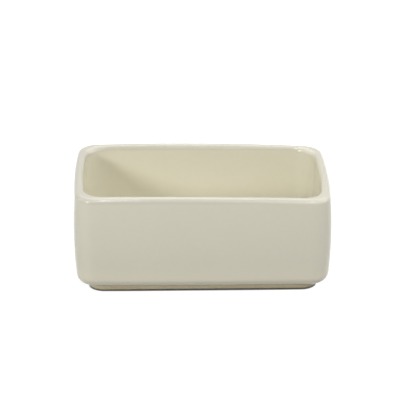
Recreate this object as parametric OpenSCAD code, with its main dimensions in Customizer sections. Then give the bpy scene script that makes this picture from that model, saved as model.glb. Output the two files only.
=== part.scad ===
// Sugar packet holder: a glazed china tray with bowed walls, standing on a bare foot ring
// Millimetres, +Z up, length along X, origin under the middle of the tray

/* [Overall size] */
// Length of the tray at its widest height
length = 111; // [90:0.5:150]
// Width of the tray at its widest height
width = 66.5; // [56:0.5:85]
// Height of the tray from the table to the top of the rim
height = 45; // [34:0.5:60]

/* [Outline seen from above] */
// Radius of the outer corners
corner_r = 9; // [6:0.1:14]
// Radius of the inner corners, at the rim
inner_corner_r = 11; // [7:0.1:14]
// How far a long side turns between its middle and the corner, in degrees
long_turn = 1.4; // [0.6:0.1:3]
// How far a short side turns between its middle and the corner, in degrees
short_turn = 3.8; // [1:0.1:6]

/* [Walls and floor] */
// Thickness of the wall at the rim
wall = 3.6; // [3.4:0.1:6]
// How far the wall swells outwards between its foot and its rim
belly = 1; // [0.3:0.05:2]
// Height of the widest place, as a share of the wall's height
belly_share = 0.55; // [0.4:0.01:0.7]
// How far the inside narrows between the rim and the floor
inner_narrowing = 0.8; // [0.2:0.1:2]
// Thickness of the floor
floor_t = 4.5; // [3:0.1:7]

/* [Roundings] */
// Radius of the rim on the outside
rim_out_r = 2.5; // [1.2:0.1:2.6]
// Radius of the rim on the inside
rim_in_r = 0.8; // [0.4:0.1:0.8]
// Radius of the bottom edge of the walls
edge_r = 4.8; // [3:0.1:8]
// Radius between the inner walls and the floor
floor_r = 5; // [3:0.1:6]

/* [Foot ring] */
// Height of the foot ring
foot_h = 3.4; // [2:0.1:5]
// Width of the foot ring
foot_w = 3.4; // [2.6:0.1:5]
// How far the foot ring stands inside the rounded bottom edge
foot_setback = 0.2; // [0.1:0.1:3]
// Radius of the foot ring's outer corners
foot_corner_r = 7; // [5.2:0.1:10]
// Radius of the edges of the face that the ring stands on
foot_edge_r = 0.8; // [0.4:0.1:1.2]
// Radius between the foot ring and the floor above it, inside the ring
foot_cove_r = 1; // [0.5:0.1:1.8]

/* [Hidden] */

// How far a cut runs past the face that it opens
overrun = 1;
// How far a rounding reaches past the face that it blends into, so that the two lines cross
blend = 0.001;
// Steps in which a long move is made
coarse_step = 1;
fine_step = 0.001;
// Angle by which each arc of an outline runs into the next one, so that they join, in degrees
joint_turn = 0.0000001;
// How far profiles run inwards, as a share of the width: past the middle, so that a sweep closes up
inward_share = 0.52;
inward = width * inward_share;

// Steps along each side of the outline, and round a full circle of a corner and of a rounding
side_steps = 12;
corner_steps = 96;
round_steps = 96;
belly_steps = 720;

// The outer wall is one arc from the bottom of the wall to the rim
wall_h = height - foot_h;
belly_r = wall_h * wall_h / (8 * belly) + belly / 2;
belly_z = foot_h + wall_h * belly_share;

// Centre heights of the roundings at the rim and at the bottom edge
rim_z = height - rim_out_r;
edge_z = foot_h + edge_r;

// Where the centre of a rounding that touches the arc of the wall lies, from the outline inwards
function touching(r, z) = sqrt(pow(belly_r - r, 2) - pow(z - belly_z, 2)) - belly_r;
rim_x = touching(rim_out_r, rim_z);
edge_x = touching(edge_r, edge_z);

// Height at which the arc of the wall touches a rounding
function touch_z(r, z) = belly_z + (z - belly_z) * belly_r / (belly_r - r);
rim_touch_z = touch_z(rim_out_r, rim_z);
edge_touch_z = touch_z(edge_r, edge_z);

// The hollow: its outline at the rim, the slope of its walls and the rounding at the floor
hollow_inset = wall - rim_x - rim_out_r;
hollow_top_z = height - rim_in_r;
floor_z = foot_h + floor_t;
slope = atan(inner_narrowing / (hollow_top_z - floor_z));
floor_round_z = floor_z + floor_r;
floor_round_x = -(hollow_top_z - floor_round_z) * tan(slope) - floor_r / cos(slope);

// The foot ring starts inside the place where the bottom edge runs flat
foot_inset = foot_setback - edge_x;

// An outline has four long arcs for sides and four short ones for corners, each touching the next.
// These are the distances from the centre of a side's arc to the centres of the corners beside it.
turn_area = sin(long_turn) * sin(short_turn) - (1 - cos(long_turn)) * (1 - cos(short_turn));
function long_reach(x, y) = (x * sin(short_turn) - y * (1 - cos(short_turn))) / turn_area;
function short_reach(x, y) = (y * sin(long_turn) - x * (1 - cos(long_turn))) / turn_area;

// Each number in a list, cut down to a multiple of this step
function cut_to(v, step) = [for (c = v) sign(c) * floor(abs(c) / step) * step];

// Moves in three steps, the largest first, so that a long move keeps its fine digits
module shift(v) {
  coarse = cut_to(v, coarse_step);
  fine = cut_to(v - coarse, fine_step);
  translate(coarse)
    translate(fine)
      translate(v - coarse - fine)
        children();
}

// Steps for a full circle at which an arc of this angle gets side_steps
function steps_for(angle) = round(side_steps * 360 / angle);

// Sweeps a profile round the Z axis from one angle to another, and a hair's breadth beyond each
module arc_sweep(from, to, steps) {
  rotate_extrude(start = from - joint_turn, angle = to - from + 2 * joint_turn, $fn = steps)
    children();
}

// Sweeps a profile round an outline of these half sizes and this corner radius.
// The profile's x runs outwards from the outline and its y is the height.
module sweep(half_l, half_w, r) {
  long_arc = long_reach(half_l - r, half_w - r);
  short_arc = short_reach(half_l - r, half_w - r);
  corner_x = long_arc * sin(long_turn);
  corner_y = short_arc * sin(short_turn);
  for (half = [0, 1]) {
    mirror([half, 0, 0]) mirror([0, half, 0]) {
      shift([0, corner_y - long_arc * cos(long_turn), 0])
        rotate([0, 0, 90])
          arc_sweep(-long_turn, long_turn, steps_for(2 * long_turn))
            shift([long_arc + r, 0])
              children();
      shift([corner_x - short_arc * cos(short_turn), 0, 0])
        arc_sweep(-short_turn, short_turn, steps_for(2 * short_turn))
          shift([short_arc + r, 0])
            children();
      for (flip = [0, 1]) {
        mirror([0, flip, 0])
          shift([corner_x, corner_y, 0])
            arc_sweep(short_turn, 90 - long_turn, corner_steps)
              intersection() {
                shift([r, 0]) children();
                square([r + overrun, height + overrun]);
              }
      }
    }
  }
}

// A rounding with the plate inside it: up = 1 rounds the top of a profile, up = -1 its bottom
module rounded_end(x, z, r, up) {
  translate([x, z]) {
    circle(r = r, $fn = round_steps);
    mirror([0, up < 0 ? 1 : 0])
      translate([-inward, -blend])
        square([inward, r + blend]);
  }
}

// Solid profile of the outer wall: rounded rim, swelling side and rounded bottom edge
module outer_profile() {
  intersection() {
    translate([-belly_r, belly_z]) circle(r = belly_r, $fn = belly_steps);
    translate([-inward, 0]) square([inward + overrun, height]);
    union() {
      translate([-inward, edge_touch_z]) square([inward + overrun, rim_touch_z - edge_touch_z]);
      rounded_end(rim_x + blend, rim_z, rim_out_r, 1);
      rounded_end(edge_x + blend, edge_z, edge_r, -1);
    }
  }
}

// Profile of the hollow: flared at the rim, sloping walls and a round turn into the floor
module hollow_profile() {
  difference() {
    polygon([
      [-inward, height + overrun],
      [rim_in_r, height + overrun],
      [rim_in_r, hollow_top_z],
      [rim_in_r * pow(tan(slope), 2), hollow_top_z + rim_in_r * tan(slope)],
      [floor_round_x + floor_r * cos(slope), floor_round_z - floor_r * sin(slope)],
      [floor_round_x, floor_round_z - floor_r * sin(slope)],
      [-inward, floor_round_z - floor_r * sin(slope)]
    ]);
    translate([rim_in_r, hollow_top_z]) circle(r = rim_in_r, $fn = round_steps);
  }
  rounded_end(floor_round_x + blend, floor_round_z, floor_r, -1);
}

// Profile of the foot ring: rounded where it stands, with a cove inside where it meets the floor
module foot_profile() {
  translate([-foot_w, foot_edge_r]) square([foot_w, foot_h - foot_edge_r]);
  translate([foot_edge_r - foot_w, 0]) square([foot_w - 2 * foot_edge_r, foot_h]);
  translate([-foot_edge_r, foot_edge_r]) circle(r = foot_edge_r, $fn = round_steps);
  translate([foot_edge_r - foot_w, foot_edge_r]) circle(r = foot_edge_r, $fn = round_steps);
  difference() {
    translate([-foot_w - foot_cove_r, foot_h - foot_cove_r]) square([foot_w, foot_cove_r]);
    translate([-foot_w - foot_cove_r, foot_h - foot_cove_r]) circle(r = foot_cove_r, $fn = round_steps);
  }
}

// The glazed vessel
module body() {
  color([0.80, 0.78, 0.70])
    difference() {
      sweep(length / 2, width / 2, corner_r) outer_profile();
      sweep(length / 2 - hollow_inset, width / 2 - hollow_inset, inner_corner_r) hollow_profile();
    }
}

// The ring that the tray stands on
module foot_ring() {
  color([0.66, 0.60, 0.48])
    sweep(length / 2 - foot_inset, width / 2 - foot_inset, foot_corner_r) foot_profile();
}

body();
foot_ring();
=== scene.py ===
"""Looks of the sugar packet holder: a cream glazed china tray on a bare foot ring."""

import math

import bpy
from mathutils import Matrix, Vector


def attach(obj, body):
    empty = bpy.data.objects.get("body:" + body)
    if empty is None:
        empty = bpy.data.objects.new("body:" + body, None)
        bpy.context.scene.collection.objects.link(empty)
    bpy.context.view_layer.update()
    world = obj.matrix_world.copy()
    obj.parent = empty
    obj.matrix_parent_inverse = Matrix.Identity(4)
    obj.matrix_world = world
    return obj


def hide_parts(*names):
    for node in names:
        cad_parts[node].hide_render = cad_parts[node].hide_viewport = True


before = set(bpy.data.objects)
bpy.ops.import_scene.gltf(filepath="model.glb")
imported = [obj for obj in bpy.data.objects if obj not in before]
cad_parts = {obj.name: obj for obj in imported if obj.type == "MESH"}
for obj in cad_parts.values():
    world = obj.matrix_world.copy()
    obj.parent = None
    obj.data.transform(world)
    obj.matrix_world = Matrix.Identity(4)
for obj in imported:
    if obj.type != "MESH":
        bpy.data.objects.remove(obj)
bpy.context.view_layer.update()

# The CAD's own sizes, in millimetres. The turns are angles.
MM = 0.001
LENGTH, WIDTH, HEIGHT = 111.0, 66.5, 45.0
CORNER_R, INNER_CORNER_R = 9.0, 11.0
LONG_TURN, SHORT_TURN = math.radians(1.4), math.radians(3.8)
WALL, BELLY, BELLY_SHARE, NARROWING, FLOOR_T = 3.6, 1.0, 0.55, 0.8, 4.5
RIM_OUT_R, RIM_IN_R, EDGE_R, FLOOR_R = 2.5, 0.8, 4.8, 5.0
FOOT_H, FOOT_W, FOOT_SETBACK, FOOT_CORNER_R = 3.4, 3.4, 0.2, 7.0
FOOT_EDGE_R, FOOT_COVE_R = 0.8, 1.0

# How far the fired tray departs from its true form: the rim dips towards both ends and leans to
# the right, and the foot is arched between the ends that it stands on. The arch fades with height.
RIM_DIP = 1.0
RIM_LEAN = 0.8
FOOT_ARCH, ARCH_FADE = 0.6, 2.5
# The edge that the foot stands on is worn rounder than the true form, and the foot narrows to it
FOOT_WORN_R, FOOT_TAPER = 1.2, 0.3
# The glazed rim is a little rounder than the true form: radius outside, depth of the turn inside,
# and how much flatter it is where it is wide
LIP_OUT_R = 2.0
RIM_SOFT = 1.9
RIM_FLAT = 1.6
# Thickness that the glaze adds to the inner walls, which flare below the rim: how far out at the
# rim, and the depth in which that fades
GLAZE_T = 0.5
FLARE, FLARE_DEPTH = 0.2, 4.0

# Points along half a long side, a corner and half a short side
SIDE_POINTS, CORNER_POINTS, END_POINTS = 26, 22, 16
# Points up the outer wall, down the inner wall, in each rounding and in the turn of the rim
OUTER_POINTS, INNER_POINTS, ROUND_POINTS, TURN_POINTS = 26, 30, 14, 16
# Points in the foot's worn edge, its inner edge and its cove
WORN_POINTS, FOOT_EDGE_POINTS, COVE_POINTS = 10, 8, 6
# Shares at which rings lie between the middle and the rounding, under the tray and on its floor
UNDER_SHARES = (0.2, 0.4, 0.6, 0.8, 0.95)
FLOOR_SHARES = (0.96, 0.9, 0.8, 0.7, 0.6, 0.5, 0.4, 0.3, 0.2, 0.1)
# The ring on the foot's inner side, as a share of the foot's height
FOOT_SIDE_SHARE = 0.6

# Profile of the walls and place of the foot, worked out as in the CAD. A profile's x runs outwards
# from the outline, and an inset inwards.
wall_h = HEIGHT - FOOT_H
belly_r = wall_h ** 2 / (8 * BELLY) + BELLY / 2
belly_z = FOOT_H + wall_h * BELLY_SHARE
rim_z, edge_z = HEIGHT - RIM_OUT_R, FOOT_H + EDGE_R


def touching(r, z):
    """Profile x of the centre of a rounding that touches the belly's arc."""
    return math.sqrt((belly_r - r) ** 2 - (z - belly_z) ** 2) - belly_r


def touch_z(r, z):
    """Height at which the belly's arc touches a rounding."""
    return belly_z + (z - belly_z) * belly_r / (belly_r - r)


rim_x, edge_x = touching(RIM_OUT_R, rim_z), touching(EDGE_R, edge_z)
hollow_inset = WALL - rim_x - RIM_OUT_R
hollow_top = HEIGHT - RIM_IN_R
floor_z = FOOT_H + FLOOR_T
slope = math.atan(NARROWING / (hollow_top - floor_z))
floor_round_z = floor_z + FLOOR_R
floor_round_x = -(hollow_top - floor_round_z) * math.tan(slope) - FLOOR_R / math.cos(slope)
foot_inset = FOOT_SETBACK - edge_x
turn_area = (math.sin(LONG_TURN) * math.sin(SHORT_TURN)
             - (1 - math.cos(LONG_TURN)) * (1 - math.cos(SHORT_TURN)))

# Half the length of the foot as a share of the tray's, and how far the rim's highest place would
# rise above the true form if the dip and the lean alone shaped it
stand_share = (LENGTH / 2 - foot_inset) / (LENGTH / 2)
rim_rise = RIM_LEAN ** 2 / (4 * RIM_DIP)


# Shapes

def spread(a, b, n):
    """n steps from a up to but not including b."""
    return [a + (b - a) * i / n for i in range(n)]


def outline(half_l, half_w, r):
    """Points of an outline of eight tangent arcs, anticlockwise from the right side's middle."""
    x, y = half_l - r, half_w - r
    long_arc = (x * math.sin(SHORT_TURN) - y * (1 - math.cos(SHORT_TURN))) / turn_area
    short_arc = (y * math.sin(LONG_TURN) - x * (1 - math.cos(LONG_TURN))) / turn_area
    cx, cy = long_arc * math.sin(LONG_TURN), short_arc * math.sin(SHORT_TURN)
    long_y, short_x = cy - long_arc * math.cos(LONG_TURN), cx - short_arc * math.cos(SHORT_TURN)
    quarter = []
    for a in spread(0, SHORT_TURN, END_POINTS):
        quarter.append((short_x + (short_arc + r) * math.cos(a), (short_arc + r) * math.sin(a)))
    for a in spread(SHORT_TURN, math.pi / 2 - LONG_TURN, CORNER_POINTS):
        quarter.append((cx + r * math.cos(a), cy + r * math.sin(a)))
    for a in spread(LONG_TURN, 0, SIDE_POINTS):
        quarter.append(((long_arc + r) * math.sin(a), long_y + (long_arc + r) * math.cos(a)))
    quarter.append((0.0, half_w))
    half = quarter + [(-px, py) for px, py in quarter[-2::-1]]
    return half[:-1] + [(-px, -py) for px, py in half[:-1]]


def ring(inset, r, z):
    """Points round the tray at one height, this far inside its outline, with this corner radius."""
    return [(x, y, z) for x, y in outline(LENGTH / 2 - inset, WIDTH / 2 - inset, r)]


def scaled(points, share):
    """A ring drawn in towards the middle."""
    return [(x * share, y * share, z) for x, y, z in points]


def arc(cx, cz, r, a, b, n):
    """Profile points on an arc, from angle a up to and with angle b, in degrees."""
    steps = spread(math.radians(a), math.radians(b), n) + [math.radians(b)]
    return [(cx + r * math.cos(t), cz + r * math.sin(t)) for t in steps]


def outer_profile():
    """Profile points up the outside, from the bottom edge to the crest of the rim."""
    lip_z = HEIGHT - LIP_OUT_R
    low, high = touch_z(EDGE_R, edge_z), touch_z(LIP_OUT_R, lip_z)
    low_angle = math.degrees(math.asin((low - edge_z) / EDGE_R))
    high_angle = math.degrees(math.asin((high - lip_z) / LIP_OUT_R))
    points = arc(edge_x, edge_z, EDGE_R, -90, low_angle, ROUND_POINTS)
    for z in spread(low, high, OUTER_POINTS)[1:]:
        points.append((math.sqrt(belly_r ** 2 - (z - belly_z) ** 2) - belly_r, z))
    lip_x = touching(LIP_OUT_R, lip_z)
    return points + arc(lip_x, lip_z, LIP_OUT_R, high_angle, 90, ROUND_POINTS)


def inner_profile():
    """Profile points down the inside, from under the rim to the floor, closer near the rim."""
    top = (-(RIM_SOFT - RIM_IN_R) * math.tan(slope), HEIGHT - RIM_SOFT)
    bottom = (floor_round_x + FLOOR_R * math.cos(slope), floor_round_z - FLOOR_R * math.sin(slope))
    points = []
    for s in spread(0, 1, INNER_POINTS):
        x, z = top[0] + (bottom[0] - top[0]) * s * s, top[1] + (bottom[1] - top[1]) * s * s
        points.append((x + FLARE * math.exp((z - top[1]) / FLARE_DEPTH), z))
    start = -math.degrees(slope)
    return points + arc(floor_round_x, floor_round_z, FLOOR_R, start, -90, ROUND_POINTS)


def rim_turn(crest, wall):
    """Rings from the rim's crest down to the inner wall, nearly level at first where it is wide."""
    wide = [max(math.dist(p[:2], q[:2]) / RIM_SOFT, 1.0) for p, q in zip(crest, wall)]
    power = [1 / (1 + RIM_FLAT / 2 * (w - 1)) for w in wide]
    rings = []
    for t in spread(0, math.pi / 2, TURN_POINTS)[1:]:
        z = HEIGHT - RIM_SOFT * (1 - math.cos(t))
        shares = [math.sin(t) ** f for f in power]
        rings.append([(p[0] + (q[0] - p[0]) * f, p[1] + (q[1] - p[1]) * f, z)
                      for p, q, f in zip(crest, wall, shares)])
    return rings


def tray_rings():
    """Rings from the middle of the underside, up the outside, over the rim and in to the floor."""
    outside = [ring(-x, CORNER_R + x, z) for x, z in outer_profile()]
    inside = [ring(hollow_inset + GLAZE_T - x, INNER_CORNER_R - GLAZE_T + x, z)
              for x, z in inner_profile()]
    under = [scaled(outside[0], share) for share in UNDER_SHARES]
    floor = [scaled(inside[-1], share) for share in FLOOR_SHARES]
    return under + outside + rim_turn(outside[-1], inside[0]) + inside + floor


def foot_rings():
    """Closed profile of the foot ring, from the outer top corner down, under and up inside."""
    r, worn, cove = FOOT_EDGE_R, FOOT_WORN_R, FOOT_COVE_R
    profile = [(0, FOOT_H), (-FOOT_TAPER / 2, FOOT_H / 2)]
    profile += arc(-FOOT_TAPER - worn, worn, worn, 0, -90, WORN_POINTS)
    profile += [(-FOOT_W / 2, 0)]
    profile += arc(r - FOOT_W, r, r, -90, -180, FOOT_EDGE_POINTS)
    profile += [(-FOOT_W, FOOT_H * FOOT_SIDE_SHARE)]
    profile += arc(-FOOT_W - cove, FOOT_H - cove, cove, 0, 90, COVE_POINTS)
    return [ring(foot_inset - x, FOOT_CORNER_R + x, z) for x, z in profile]


def fired(p):
    """Moves a point of the true form to where it lies on the fired tray, in metres."""
    x, y, z = p
    share = z / HEIGHT
    along = x / (LENGTH / 2)
    arch = FOOT_ARCH * (stand_share * stand_share - along * along)
    z += arch * math.exp(-(z / ARCH_FADE) ** 2)
    z -= (rim_rise + RIM_DIP * along * along + RIM_LEAN * along) * share
    return Vector((x * MM, y * MM, z * MM))


def mesh_piece(name, verts, faces):
    """A new object in the scene with this mesh."""
    mesh = bpy.data.meshes.new(name)
    mesh.from_pydata(verts, [], faces)
    piece = bpy.data.objects.new(name, mesh)
    bpy.context.scene.collection.objects.link(piece)
    return piece


def lofted(name, rings, closed):
    """A smooth piece through rings. It closes on itself, or has a middle point at each end."""
    count = len(rings[0])
    verts = [fired(p) for points in rings for p in points]
    faces = []
    last = len(rings) - 1
    for k in range(len(rings) if closed else last):
        a, b = k * count, (k + 1) % len(rings) * count
        for i in range(count):
            j = (i + 1) % count
            faces.append((a + i, a + j, b + j, b + i))
    if not closed:
        for k, flip in ((0, True), (last, False)):
            middle = len(verts)
            verts.append(fired((0, 0, rings[k][0][2])))
            for i in range(count):
                tri = (k * count + i, k * count + (i + 1) % count, middle)
                faces.append(tri[::-1] if flip else tri)
    piece = mesh_piece(name, verts, faces)
    piece.data.validate()
    piece.data.update()
    for face in piece.data.polygons:
        face.use_smooth = True
    return piece


# Materials. A noise is given by its scale and detail, a colour ramp by its place and colour at
# each end, and a bump by its strength and its distance in metres.

# Faint clouds in the glaze and a fine speckle over them
CLOUD_NOISE = (30.0, 3.0)
CLOUD_RAMP = ((0.3, (0.713, 0.684, 0.553)), (0.7, (0.726, 0.696, 0.569)))
SPECKLE_NOISE, SPECKLE_SHARE = (420.0, 2.0), 0.5
SPECKLE_RAMP = ((0.35, (0.985, 0.984, 0.980)), (0.65, (1.0, 1.0, 1.0)))
# Low down, where the glaze ran and is thick, also made lighter as painted light bounced up from the
# floor: colour, and the height above the foot that it reaches
RUN_AND_BOUNCE_COLOR, RUN_AND_BOUNCE_REACH = (0.790, 0.740, 0.588), 14.0
# At the rim, painted shade: its top is darker than the walls. Colour, and the depths at which that
# starts and is full
RIM_SHADE_COLOR, RIM_SHADE_DEPTHS = (0.617, 0.592, 0.496), (3.2, 0.4)
SMEAR_NOISE, GLAZE_ROUGHNESS, GLAZE_IOR = (90.0, 2.0), (0.09, 0.17), 1.5
# Long soft waves of the hand-finished wall, and the fine orange peel of the glaze over them
WAVE_NOISE, WAVE_BUMP = (42.0, 1.0), (0.25, 0.0004)
PEEL_NOISE, PEEL_BUMP = (300.0, 2.0), (0.08, 0.0002)

# Grain and stains of the foot, on a base colour darkened and yellowed as painted shade and bounce
# light under the tray's overhang
GRAIN_NOISE, GRAIN_BUMP = (1100.0, 3.0), (0.35, 0.0001)
GRAIN_AND_SHADE_RAMP = ((0.3, (0.627, 0.561, 0.363)), (0.7, (0.700, 0.633, 0.421)))
STAIN_NOISE, STAIN_SHARE = (120.0, 3.0), 0.8
STAIN_RAMP = ((0.35, (0.90, 0.88, 0.84)), (0.65, (1.0, 1.0, 1.0)))
# The colour that darkens the lowest part, where the foot stands, and how much, the heights between
# which its glaze starts, and its roughness below and above
BOTTOM_DARK_COLOR, BOTTOM_DARK_SHARE = (0.36, 0.32, 0.23), 0.35
GLAZE_LINE, FOOT_ROUGHNESS = (0.7, 1.3), (0.8, 0.42)

# Sockets of a Mix node that mixes colours
MIX_FACTOR, MIX_A, MIX_B, MIX_RESULT = 0, 6, 7, 2


def add_node(tree, kind, inputs, **settings):
    """A new node. Each input is given a number, a colour or the socket that feeds it."""
    node = tree.nodes.new(kind)
    for name, value in settings.items():
        setattr(node, name, value)
    for key, value in inputs.items():
        if isinstance(value, bpy.types.NodeSocket):
            tree.links.new(value, node.inputs[key])
        elif isinstance(value, tuple):
            node.inputs[key].default_value = (*value, 1)
        else:
            node.inputs[key].default_value = value
    return node


def material(name):
    """A new node material, with its node tree and shader."""
    m = bpy.data.materials.new(name)
    m.use_nodes = True
    return m, m.node_tree, m.node_tree.nodes["Principled BSDF"]


def own_place(tree):
    """The place on the piece, along its own axes."""
    return add_node(tree, "ShaderNodeTexCoord", {}).outputs["Object"]


def noise(tree, coords, settings):
    scale, detail = settings
    inputs = {"Vector": coords, "Scale": scale, "Detail": detail}
    return add_node(tree, "ShaderNodeTexNoise", inputs).outputs["Fac"]


def ramp(tree, value, stops):
    node = add_node(tree, "ShaderNodeValToRGB", {"Fac": value})
    for element, (position, color) in zip(node.color_ramp.elements, stops):
        element.position, element.color = position, (*color, 1)
    return node.outputs["Color"]


def mixed(tree, kind, factor, a, b):
    """Two colours mixed by a factor."""
    inputs = {MIX_FACTOR: factor, MIX_A: a, MIX_B: b}
    node = add_node(tree, "ShaderNodeMix", inputs, data_type="RGBA", blend_type=kind)
    return node.outputs[MIX_RESULT]


def mapped(tree, value, to, start=(0.0, 1.0), **settings):
    """A value carried from one range to another, and held at its ends."""
    inputs = {"Value": value, "From Min": start[0], "From Max": start[1],
              "To Min": to[0], "To Max": to[1]}
    return add_node(tree, "ShaderNodeMapRange", inputs, **settings).outputs["Result"]


def calculated(tree, operation, a, b, clamp=False):
    node = add_node(tree, "ShaderNodeMath", {0: a, 1: b}, operation=operation, use_clamp=clamp)
    return node.outputs["Value"]


def bumped(tree, height, settings, below=None):
    strength, distance = settings
    inputs = {"Strength": strength, "Distance": distance, "Height": height}
    if below:
        inputs["Normal"] = below
    return add_node(tree, "ShaderNodeBump", inputs).outputs["Normal"]


def height_share(tree, coords, low, high):
    """0 at one height and 1 at another, in millimetres, with a smooth rise between them."""
    split = add_node(tree, "ShaderNodeSeparateXYZ", {"Vector": coords})
    return mapped(tree, split.outputs["Z"], (0.0, 1.0), (low * MM, high * MM),
                  interpolation_type="SMOOTHSTEP")


def glaze():
    m, tree, shader = material("cream_glaze")
    coords = own_place(tree)
    color = ramp(tree, noise(tree, coords, CLOUD_NOISE), CLOUD_RAMP)
    speckle = ramp(tree, noise(tree, coords, SPECKLE_NOISE), SPECKLE_RAMP)
    color = mixed(tree, "MULTIPLY", SPECKLE_SHARE, color, speckle)
    # Low down the glaze runs thick, and is lightened there as painted bounce light from the floor
    run_and_bounce = height_share(tree, coords, FOOT_H + RUN_AND_BOUNCE_REACH, FOOT_H)
    color = mixed(tree, "MIX", run_and_bounce, color, RUN_AND_BOUNCE_COLOR)
    # Painted shade: the rim's top is darkened
    rim_shade = height_share(tree, coords, *(HEIGHT - depth for depth in RIM_SHADE_DEPTHS))
    color = mixed(tree, "MIX", rim_shade, color, RIM_SHADE_COLOR)
    tree.links.new(color, shader.inputs["Base Color"])
    rough = mapped(tree, noise(tree, coords, SMEAR_NOISE), GLAZE_ROUGHNESS)
    tree.links.new(rough, shader.inputs["Roughness"])
    waves = bumped(tree, noise(tree, coords, WAVE_NOISE), WAVE_BUMP)
    peel = bumped(tree, noise(tree, coords, PEEL_NOISE), PEEL_BUMP, waves)
    tree.links.new(peel, shader.inputs["Normal"])
    shader.inputs["IOR"].default_value = GLAZE_IOR
    return m


def bare_clay():
    m, tree, shader = material("bare_foot")
    coords = own_place(tree)
    grain = noise(tree, coords, GRAIN_NOISE)
    stain = ramp(tree, noise(tree, coords, STAIN_NOISE), STAIN_RAMP)
    # The grain's colours hold painted shade and yellow bounce light from the overhang above
    color = mixed(tree, "MULTIPLY", STAIN_SHARE, ramp(tree, grain, GRAIN_AND_SHADE_RAMP), stain)
    # The glaze is wiped off the lowest part, which is rougher and darker where it stands
    glazed = height_share(tree, coords, *GLAZE_LINE)
    darkened_bottom = mixed(tree, "MIX", BOTTOM_DARK_SHARE, color, BOTTOM_DARK_COLOR)
    color = mixed(tree, "MIX", glazed, darkened_bottom, color)
    tree.links.new(color, shader.inputs["Base Color"])
    tree.links.new(mapped(tree, glazed, FOOT_ROUGHNESS), shader.inputs["Roughness"])
    tree.links.new(bumped(tree, grain, GRAIN_BUMP), shader.inputs["Normal"])
    return m


tray = lofted("tray", tray_rings(), closed=False)
tray.data.materials.append(glaze())
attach(tray, "root")
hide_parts("body")

foot = lofted("foot", foot_rings(), closed=True)
foot.data.materials.append(bare_clay())
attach(foot, "root")
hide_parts("foot_ring")


# Floor, world and lamps

# Half the floor's side in metres, the squares along it, and its own shade, roughness and gloss
FLOOR_HALF, FLOOR_STEPS = 1.5, 6
FLOOR_SHADE, FLOOR_ROUGHNESS, FLOOR_GLOSS = 0.3, 0.9, 0.1
# How far the floor is whitened where the camera, gloss or glass shows it: near the tray, and
# beyond the lamps' reach. Between these distances from the tray, in metres, one goes over into
# the other.
FLOOR_GLOW, FULL_GLOW = 0.88, 1.0
GLOW_REACH = (0.15, 0.5)
# The whitening stops short of the foot, where the tray's own shadow is: reach of the dark line in
# metres, and how open the floor is, as a share, where the line is full and where it ends
CONTACT = 0.001
CONTACT_OPEN = (0.45, 0.85)
# Strength of the world's light on the tray, and of the white that the camera sees
WORLD_LIGHT, WORLD_WHITE = 0.0, 1.0


def seen_ray(tree):
    """1 for a ray from the camera or one that gloss or glass sends on, 0 for light on the tray."""
    path = add_node(tree, "ShaderNodeLightPath", {})
    total = path.outputs["Is Camera Ray"]
    for kind in ("Is Glossy Ray", "Is Transmission Ray"):
        total = calculated(tree, "ADD", total, path.outputs[kind], clamp=True)
    return total


def floor_piece():
    places = spread(-FLOOR_HALF, FLOOR_HALF, FLOOR_STEPS) + [FLOOR_HALF]
    verts = [(x, y, 0.0) for y in places for x in places]
    row = len(places)
    corners = [j * row + i for j in range(FLOOR_STEPS) for i in range(FLOOR_STEPS)]
    piece = mesh_piece("floor", verts, [(a, a + 1, a + row + 1, a + row) for a in corners])
    m, tree, shader = material("white_floor")
    shader.inputs["Base Color"].default_value = (FLOOR_SHADE, FLOOR_SHADE, FLOOR_SHADE, 1)
    shader.inputs["Roughness"].default_value = FLOOR_ROUGHNESS
    shader.inputs["Specular IOR Level"].default_value = FLOOR_GLOSS
    near = add_node(tree, "ShaderNodeAmbientOcclusion", {"Distance": CONTACT})
    clear = mapped(tree, near.outputs["AO"], (0.0, 1.0), CONTACT_OPEN)
    away = add_node(tree, "ShaderNodeVectorMath", {0: own_place(tree)}, operation="LENGTH")
    whitened = mapped(tree, away.outputs["Value"], (FLOOR_GLOW, FULL_GLOW), GLOW_REACH)
    glowing = calculated(tree, "MULTIPLY", clear, whitened)
    share = calculated(tree, "MULTIPLY", seen_ray(tree), glowing)
    glow = add_node(tree, "ShaderNodeEmission", {"Strength": share})
    both = add_node(tree, "ShaderNodeAddShader",
                    {0: shader.outputs["BSDF"], 1: glow.outputs["Emission"]})
    tree.links.new(both.outputs["Shader"], tree.nodes["Material Output"].inputs["Surface"])
    piece.data.materials.append(m)


floor_piece()

world = bpy.data.worlds.new("studio")
world.use_nodes = True
bpy.context.scene.world = world
backdrop = world.node_tree.nodes["Background"]
backdrop.inputs["Color"].default_value = (1, 1, 1, 1)
strength = mapped(world.node_tree, seen_ray(world.node_tree), (WORLD_LIGHT, WORLD_WHITE))
world.node_tree.links.new(strength, backdrop.inputs["Strength"])

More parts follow.
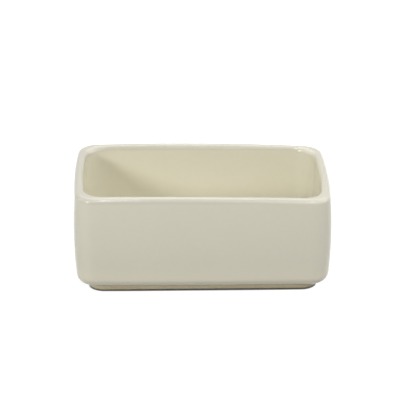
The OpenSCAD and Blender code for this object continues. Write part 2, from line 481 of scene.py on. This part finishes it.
# Lamps by name: azimuth and elevation seen from the tray in degrees, distance and size in metres,
# and power in watts. Azimuth 0 is the right side and 90 the back.
LAMPS = [
    ("key", -130, 20.4, 1.0, 0.18, 3.75),
    ("front", -60, 35, 1.2, 0.9, 3.2),
    ("right", 0, 28, 1.2, 0.9, 5.0),
    ("right_back", 30, 40, 1.2, 0.9, 2.2),
    ("back", 90, 50, 1.2, 0.9, 4.5),
    ("left", 180, 25, 1.2, 0.6, 2.45),
    ("top", 0, 90, 1.2, 0.9, 0.6),
    ("crest", 90, 79, 1.2, 0.3, 1.6),
    ("spark_left", -101, 50, 1.0, 0.05, 1.2),
    ("spark_right", -66, 50, 1.0, 0.05, 1.0),
]


def lamp(name, azimuth, elevation, distance, size, power):
    """A square soft box aimed at the tray."""
    data = bpy.data.lights.new(name, "AREA")
    data.shape = "SQUARE"
    data.size = size
    data.energy = power
    a, e = math.radians(azimuth), math.radians(elevation)
    away = Vector((math.cos(a) * math.cos(e), math.sin(a) * math.cos(e), math.sin(e)))
    piece = bpy.data.objects.new(name, data)
    piece.location = Vector((0, 0, HEIGHT / 2 * MM)) + away * distance
    piece.rotation_euler = (-away).to_track_quat("-Z", "Y").to_euler()
    bpy.context.scene.collection.objects.link(piece)


for settings in LAMPS:
    lamp(*settings)

# Camera: a plain pinhole, fitted to the photograph's outline. Angles are in degrees, its place and
# sensor in millimetres, its focal length and frame in pixels.
AZIMUTH, TILT, ROLL = -1.2615, 66.9238, 0.0309
CAMERA_PLACE = (-19.445, -851.941, 393.746)
SENSOR = 36.0
FOCAL_PIXELS, FRAME_PIXELS = 2133.0, 400
camera_data = bpy.data.cameras.new("camera")
camera_data.sensor_width = SENSOR
camera_data.lens = FOCAL_PIXELS / FRAME_PIXELS * SENSOR
camera = bpy.data.objects.new("camera", camera_data)
camera.matrix_world = (Matrix.Translation(Vector(CAMERA_PLACE) * MM)
                       @ Matrix.Rotation(math.radians(AZIMUTH), 4, "Z")
                       @ Matrix.Rotation(math.radians(TILT), 4, "X")
                       @ Matrix.Rotation(math.radians(ROLL), 4, "Z"))
bpy.context.scene.collection.objects.link(camera)
bpy.context.scene.camera = camera

bpy.context.scene.view_settings.view_transform = "Standard"
